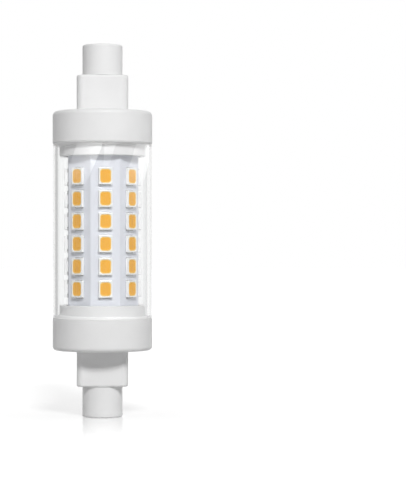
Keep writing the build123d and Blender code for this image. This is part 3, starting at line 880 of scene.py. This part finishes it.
class BULB_OT_leds(bpy.types.Operator):
    """LED packages in a column on each facet of the board"""

    bl_idname = "bulb.leds"
    bl_label = "LEDs"

    def housing(self, mesh, size, place):
        """White housing with a rounded window."""
        half_x, half_y = size.package_length / 2, size.package_width / 2
        window_x, window_y = half_x - size.end_rim, half_y - size.side_rim
        base, top = size.terminal_thickness, size.package_height
        rings = []

        def body(inset, level):
            rings.append(corner_ring(half_x - inset, half_y - inset, size.corner, level, 5))

        def opening(grow, level):
            shape = (window_x + grow, window_y + grow, size.window_corner)
            rings.append(corner_ring(*shape, level, 5))

        body(size.foot_inset, base)
        body(0, base + size.foot)
        for near, far in quarter(3):
            body(size.edge * far, top - size.edge * (1 - near))
        for near, far in quarter(2):
            opening(size.window_lip * (1 - near), top - size.window_lip * far)
        opening(-size.window_draft, top - size.window_depth)
        add_loft(mesh, placed(rings, place), caps=(True, True))

    def window(self, mesh, layer, size, place):
        """Phosphor that fills the window, with a low meniscus at its rim."""
        half_x = size.package_length / 2 - size.end_rim
        half_y = size.package_width / 2 - size.side_rim
        top = size.package_height - size.phosphor_drop
        rings = []
        for inset, rise, rim in WINDOW_PROFILE:
            corner = max(0.1 * MM, size.window_corner - inset * MM * 0.2)
            shape = (half_x - inset * MM, half_y - inset * MM, corner)
            rings.append(corner_ring(*shape, top + rise * MM, 5))
        made = add_loft(mesh, placed(rings, place), caps=(False, True))
        for row, (inset, rise, rim) in zip(made, WINDOW_PROFILE):
            for vertex in row:
                vertex[layer] = rim

    def terminal(self, mesh, size, place):
        """Tinned terminal with its solder; its dark tone partly paints the shadow the package casts
        below it.
        """
        half_x, half_y = size.terminal_length / 2, size.terminal_width / 2
        rings = []
        for inset, share in TERMINAL_PROFILE:
            shape = (half_x - inset * MM, half_y - inset * MM, size.terminal_corner)
            rings.append(corner_ring(*shape, size.terminal_thickness * share, 3))
        add_loft(mesh, placed(rings, place), caps=(True, True))

    def execute(self, context):
        size, board = context.scene.bulb_leds, context.scene.bulb_board
        white = moulded("led housing", size.housing, 0.3, grain=3000, relief=2e-6)
        glow = phosphor_finish("phosphor", size.phosphor, size.phosphor_edge)
        # The terminals' tin is darkened to paint the package's shadow at its lower end
        tin_darkened_as_shade = metal("tinned metal darkened as shade", size.tin_darkened_as_shade, 0.34)
        first = column_low[2] + size.package_length / 2
        last = column_high[2] - size.package_length / 2
        levels = [first + (last - first) * row / max(1, size.rows - 1) for row in range(size.rows)]
        reach = (size.package_length - size.terminal_length) / 2
        ends = (-reach - size.lower_reach, reach + size.upper_reach)
        for facet in range(FACETS):
            axes = facet_frame(facet, board.apothem, board.turn)
            housings, windows, terminals = bmesh.new(), bmesh.new(), bmesh.new()
            layer = windows.verts.layers.float.new("rim")
            for level in levels:
                place = axes @ Matrix.Translation((level, 0, 0))
                self.housing(housings, size, place)
                self.window(windows, layer, size, place)
                for end in ends:
                    self.terminal(terminals, size, place @ Matrix.Translation((end, 0, 0)))
            for name, mesh, finish, node, slot, crease in (
                ("housings", housings, white, "led_bodies", "led_housing", 50),
                ("windows", windows, glow, "led_phosphors", "phosphor", 60),
                ("terminals", terminals, tin_darkened_as_shade, "led_terminals", "tinned_metal", 40),
            ):
                number = facet + 1
                finish_piece(f"{name}_{number}", mesh, [finish], [f"{node}_{number}"], crease)
        return {"FINISHED"}


class BULB_OT_driver(bpy.types.Operator):
    """Finishes of the driver, its sleeve and its wires, hidden in the folded board"""

    bl_idname = "bulb.driver"
    bl_label = "Driver"

    def middle_of(self, node):
        """Place of a node's axis, as a move from the bulb's own axis."""
        low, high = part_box(node)
        return Matrix.Translation(((low[0] + high[0]) / 2, (low[1] + high[1]) / 2, 0))

    def turned(self, mesh, node, profile, marked):
        """A lathed body along the bulb, in a node's place, with its second finish on some bands."""
        low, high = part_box(node)
        radius = (high[0] - low[0]) / 2
        rings = [round_ring(radius - inset, level, LATHE_POINTS) for inset, level in profile]
        rows = add_loft(mesh, placed(rings, self.middle_of(node)), caps=(True, True))
        for number in marked:
            band = set(rows[number]) | set(rows[number + 1])
            for face in mesh.faces:
                if len(face.verts) == 4 and set(face.verts) <= band:
                    face.material_index = 1
        return rows

    def capacitor(self, size, cover, bare):
        """Filter capacitor: crimped can in a shrunk cover, open at its top."""
        low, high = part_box("filter_capacitor")
        foot, top, edge = low[2], high[2], size.can_edge
        profile = [(size.can_foot, foot)]
        profile += [(edge * (1 - near), foot + edge * far) for near, far in quarter(4)]
        for step in range(9):
            share = step / 8
            depth = size.crimp * math.sin(math.pi * share) ** 2
            profile.append((depth, foot + size.crimp_level + size.crimp_width * share))
        profile += [(edge * far, top - edge * (1 - near)) for near, far in quarter(4)]
        profile += [(inset * MM, top - depth * MM) for inset, depth in CAN_TOP]
        mesh = bmesh.new()
        count = len(profile)
        rows = self.turned(mesh, "filter_capacitor", profile, (count - 3, count - 2))
        for face in rows[-1][0].link_faces:
            if len(face.verts) > 4:
                face.material_index = 1
        finish_piece("can", mesh, [cover, bare], ["filter_capacitor"], 50)

    def resistor(self, size, paint, bands):
        """Fuse resistor: painted body with thicker ends and four rings."""
        low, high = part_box("fuse_resistor")
        foot, long = low[2], high[2] - low[2]
        profile = []
        for share in RESISTOR_STATIONS:
            near_end = min(share, 1 - share)
            waist = size.waist * min(1, max(0, (near_end - 0.16) / 0.12))
            rounding = size.resistor_edge * max(0, 1 - near_end / 0.06) ** 2
            profile.append((waist + rounding, foot + long * share))
        mesh = bmesh.new()
        self.turned(mesh, "fuse_resistor", profile, RESISTOR_RINGS)
        finish_piece(
            "painted_resistor", mesh, [paint, bands], ["fuse_resistor"], 50
        )

    def winding(self, size, copper):
        """Turns of wire, wound round the middle leg of the choke's core."""
        low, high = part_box("choke_winding")
        core_low, core_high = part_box("choke_core")
        half_x, half_y, tall = (high[0] - low[0]) / 2, (high[1] - low[1]) / 2, high[2] - low[2]
        steps = 4 * max(1, round(tall / size.wire))
        rings = []
        for step in range(steps + 1):
            dip = size.wire / 2 * (1 - abs(math.sin(math.pi * step / 4)))
            level = low[2] + tall * step / steps
            rings.append(corner_ring(half_x - dip, half_y - dip, size.coil_corner, level, 5))
        leg_y = (core_high[1] - core_low[1]) / 2 + CLEARANCE / 2
        for level in (high[2], low[2]):
            rings.append(corner_ring(size.leg, leg_y, 2 * CLEARANCE, level, 5))
        mesh = bmesh.new()
        add_loft(mesh, placed(rings, self.middle_of("choke_winding")), loop=True)
        finish_piece("wound_wire", mesh, [copper], ["choke_winding"], 70)

    def block(self, name, node, away, shape, material, slot):
        """Moulded body that stands on a face of the driver board, away from it along y."""
        corner, edge, draft = shape
        low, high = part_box(node)
        half_x, half_z, tall = (high[0] - low[0]) / 2, (high[2] - low[2]) / 2, high[1] - low[1]
        foot = low[1] if away > 0 else high[1]
        middle = Vector(((low[0] + high[0]) / 2, foot, (low[2] + high[2]) / 2))
        place = Matrix.Translation(middle) @ Matrix.Rotation(-away * math.pi / 2, 4, "X")
        rows = [(draft + edge * (1 - near), edge * far) for near, far in quarter(3)]
        rows.append((0.0, tall * 0.45))
        rows += [(draft + edge * far, tall - edge * (1 - near)) for near, far in quarter(4)]
        rings = []
        for inset, level in rows:
            bend = max(corner - inset / 2, edge / 2)
            rings.append(corner_ring(half_x - inset, half_z - inset, bend, level, 4))
        mesh = bmesh.new()
        add_loft(mesh, placed(rings, place), caps=(True, True))
        finish_piece(name, mesh, [material], [node], 40)

    def execute(self, context):
        size = context.scene.bulb_driver
        # The leads share the LEDs' tin, darkened there as painted shade
        tin_darkened_as_shade = metal("tinned leads in shade-darkened tin", context.scene.bulb_leds.tin_darkened_as_shade, 0.3)
        black = moulded("moulded epoxy", size.epoxy, 0.5, grain=2600, relief=8e-6)
        copper = metal("enamelled copper", size.copper, 0.25, (1, 1, 14), 2e-5, 900)
        paint = moulded("fireproof paint", size.paint, 0.55, grain=2400, relief=1e-5)
        can_cover = moulded("can cover", size.sleeve_cover, 0.3, grain=700)
        resin = moulded("dipped resin", size.resin, 0.22, grain=900, relief=1e-5)
        film = moulded("sleeve film", size.film, 0.25, grain=500)
        green = moulded("green laminate", size.laminate, 0.4, grain=1400, relief=1e-5, drift=0.12)
        ferrite = moulded("sintered ferrite", size.ferrite, 0.6, grain=4000, relief=1e-5, drift=0.1)
        self.capacitor(size, can_cover, metal("can top", size.can, 0.3))
        self.resistor(size, paint, moulded("resistor rings", size.bands, 0.5))
        self.winding(size, copper)
        chip = (size.chip_corner, size.chip_edge, size.chip_draft)
        self.block("rectifier_body", "bridge_rectifier", -1, chip, black, "black_epoxy")
        self.block("chip_body", "driver_chip", -1, chip, black, "black_epoxy")
        self.block("diode_body", "flyback_diode", -1, chip, black, "black_epoxy")
        dipped = (size.resin_corner, size.resin_edge, size.resin_draft)
        self.block("dipped_capacitor", "film_capacitor", 1, dipped, resin, "yellow_resin")
        dress(["component_leads", "rectifier_leads", "chip_leads"], tin_darkened_as_shade)
        dress(["diode_terminals", "resistor_ends"], tin_darkened_as_shade)
        dress(["chip_resistors"], black)
        dress(["lower_supply_core", "upper_supply_core"], copper)
        dress(["driver_sleeve"], film)
        dress(["driver_board"], green)
        dress(["choke_core"], ferrite)
        cover = moulded("wire cover", size.cover, 0.5)
        dress(["lower_supply_cover", "upper_supply_cover", "output_wires"], cover)
        return {"FINISHED"}


class BULB_OT_stage(bpy.types.Operator):
    """Floor, lamps, even light and the camera at the photograph's angle"""

    bl_idname = "bulb.stage"
    bl_label = "Studio"

    def softbox(self, name, place, size, power):
        """A soft lamp that faces the bulb's middle, from so far to its right, up and away."""
        turn, rise, distance = math.radians(place[0]), math.radians(place[1]), place[2]
        flat = distance * math.cos(rise)
        away = Vector((flat * math.sin(turn), -flat * math.cos(turn), distance * math.sin(rise)))
        lamp = bpy.data.lights.new(name, "AREA")
        lamp.shape = "RECTANGLE"
        lamp.size, lamp.size_y = size
        lamp.energy = power
        holder = bpy.data.objects.new(name, lamp)
        holder.location = Vector((0, 0, BULB_LENGTH / 2)) + away
        holder.rotation_euler = (-away).to_track_quat("-Z", "Y").to_euler()
        bpy.context.scene.collection.objects.link(holder)

    def floor(self, size):
        """Pale floor that keeps the shadow, looks white and mirrors the bulb's foot."""
        mesh = bmesh.new()
        bmesh.ops.create_grid(mesh, x_segments=24, y_segments=24, size=size.floor_reach)
        floor = new_object("floor", mesh)
        material, tree, shader = new_finish("floor", size.floor, 0.5)
        shader.inputs["Specular IOR Level"].default_value = 0.0
        camera_ray = add_node(tree, "ShaderNodeLightPath").outputs["Is Camera Ray"]
        place = add_node(tree, "ShaderNodeTexCoord").outputs["Object"]
        measure = add_node(tree, "ShaderNodeVectorMath", {0: place}, operation="LENGTH")
        away = measure.outputs["Value"]
        seen = seen_directly(tree)
        glow = brought(tree, away, size.floor_glow, size.far_glow, end=size.glow_reach)
        strength = calculate(tree, "MULTIPLY", seen, glow)
        white = add_node(tree, "ShaderNodeEmission", {"Strength": strength}).outputs["Emission"]
        lit = add_node(tree, "ShaderNodeAddShader", {0: shader.outputs["BSDF"], 1: white})
        mirror = add_node(tree, "ShaderNodeBsdfGlossy", {"Roughness": 0.1}).outputs["BSDF"]
        grazing = add_node(tree, "ShaderNodeFresnel", {"IOR": 1.45}).outputs["Fac"]
        fade = brought(tree, away, 1.0, 0.0, end=size.mirror_reach)
        share = calculate(tree, "MULTIPLY", calculate(tree, "MULTIPLY", grazing, fade), camera_ray)
        shown = mixed(tree, share, lit.outputs["Shader"], mirror)
        # Rays that a mirror or the tube has turned see plain white and no horizon
        plain = add_node(tree, "ShaderNodeEmission").outputs["Emission"]
        show(tree, mixed(tree, calculate(tree, "SUBTRACT", seen, camera_ray), shown, plain))
        floor.data.materials.append(material)

    def emitter(self, name, mesh):
        """An unlit stage piece that no camera ray sees and that casts no light or shadow."""
        card = new_object(name, mesh)
        material, tree, _ = new_finish(name, (0, 0, 0), 1.0)
        light = add_node(tree, "ShaderNodeEmission")
        show(tree, light.outputs["Emission"])
        card.data.materials.append(material)
        card.visible_camera = card.visible_diffuse = card.visible_shadow = False
        return card, tree, light.inputs["Strength"]

    def card(self, name, start, end, level, distance):
        """Grey card behind the bulb that only the tube sees, to draw its edges."""
        mesh = bmesh.new()
        corners = []
        sides = ((start, CARD_FOOT), (end, CARD_FOOT), (end, CARD_TOP), (start, CARD_TOP))
        for degrees, height in sides:
            x = CARD_DISTANCE * math.sin(math.radians(degrees))
            y = CARD_DISTANCE * math.cos(math.radians(degrees)) - distance
            corners.append(mesh.verts.new((x, y, height)))
        mesh.faces.new(corners)
        card, _, strength = self.emitter(name, mesh)
        strength.default_value = level
        card.visible_glossy = False

    def glare_card(self, name, bands, faint, strong):
        """Slanted strip that only the tube's skin mirrors, brighter to its right."""
        steps = 8
        mesh = bmesh.new()
        glow = mesh.verts.layers.float.new("glare")
        rows = []
        for level, start, end, share in bands:
            row = []
            for step in range(steps + 1):
                turn = math.radians(start + (end - start) * step / steps)
                corner = mesh.verts.new((math.sin(turn), -math.cos(turn), level))
                corner[glow] = share * (faint + (strong - faint) * step / steps)
                row.append(corner)
            rows.append(row)
        for upper, lower in zip(rows, rows[1:]):
            for step in range(steps):
                mesh.faces.new((upper[step], upper[step + 1], lower[step + 1], lower[step]))
        card, tree, strength = self.emitter(name, mesh)
        glare = add_node(tree, "ShaderNodeAttribute", attribute_name="glare").outputs["Fac"]
        tree.links.new(calculate(tree, "ADD", glare, 1.0), strength)
        card.visible_transmission = False

    def sky(self, size):
        """Even light, white where it is seen."""
        world = bpy.data.worlds.new("studio")
        bpy.context.scene.world = world
        world.use_nodes = True
        tree = world.node_tree
        background = tree.nodes["Background"]
        background.inputs["Color"].default_value = (1, 1, 1, 1)
        level = brought(tree, seen_directly(tree), size.world_level, 1.0)
        tree.links.new(level, background.inputs["Strength"])

    def camera(self, scene, size):
        """Camera at the photograph's angle."""
        camera = bpy.data.cameras.new("camera")
        camera.sensor_fit, camera.sensor_height, camera.lens = "VERTICAL", 36, size.lens
        camera.clip_start = 0.01
        holder = bpy.data.objects.new("camera", camera)
        holder.location = (0, -size.camera_distance, size.camera_height)
        holder.rotation_euler = (math.pi / 2, 0, size.camera_turn)
        scene.collection.objects.link(holder)
        scene.camera = holder

    def execute(self, context):
        size = context.scene.bulb_studio
        self.sky(size)
        self.floor(size)
        self.softbox("key", KEY_PLACE, KEY_SIZE, size.key_power)
        self.softbox("side", SIDE_PLACE, SIDE_SIZE, size.side_power)
        self.glare_card("left_glare", LEFT_GLARE, size.faint_glare, size.glare)
        self.glare_card("middle_glare", MIDDLE_GLARE, size.faint_glare, size.faint_glare)
        self.glare_card("right_glare", RIGHT_GLARE, size.side_glare, size.side_glare)
        for name, start, end in CARDS:
            self.card(name, start, end, getattr(size, name), size.camera_distance)
        self.camera(context.scene, size)
        context.scene.view_settings.view_transform = "Standard"
        return {"FINISHED"}


class BULB_PT_panel(bpy.types.Panel):
    """Sizes, finishes and steps of the LED bulb"""

    bl_idname = "BULB_PT_panel"
    bl_label = "LED bulb"
    bl_space_type = "VIEW_3D"
    bl_region_type = "UI"
    bl_category = "LED bulb"

    def draw(self, context):
        for operator, holder, kind in STEPS:
            box = self.layout.box()
            box.operator(operator.bl_idname)
            for name in kind.__annotations__:
                box.prop(getattr(context.scene, holder), name)


STEPS = (
    (BULB_OT_end_caps, "bulb_caps", CapSizes),
    (BULB_OT_contacts, "bulb_contacts", ContactSizes),
    (BULB_OT_tube, "bulb_tube", TubeSizes),
    (BULB_OT_board, "bulb_board", BoardSizes),
    (BULB_OT_leds, "bulb_leds", LedSizes),
    (BULB_OT_driver, "bulb_driver", DriverSizes),
    (BULB_OT_stage, "bulb_studio", StudioSettings),
)


def register():
    for operator, holder, kind in STEPS:
        bpy.utils.register_class(kind)
        setattr(bpy.types.Scene, holder, PointerProperty(type=kind))
        bpy.utils.register_class(operator)
    bpy.utils.register_class(BULB_PT_panel)


def unregister():
    bpy.utils.unregister_class(BULB_PT_panel)
    for operator, holder, kind in reversed(STEPS):
        bpy.utils.unregister_class(operator)
        delattr(bpy.types.Scene, holder)
        bpy.utils.unregister_class(kind)


def main():
    """Builds every step in order."""
    register()
    for operator, holder, kind in STEPS:
        group, name = operator.bl_idname.split(".")
        getattr(getattr(bpy.ops, group), name)()


if __name__ == "__main__":
    main()
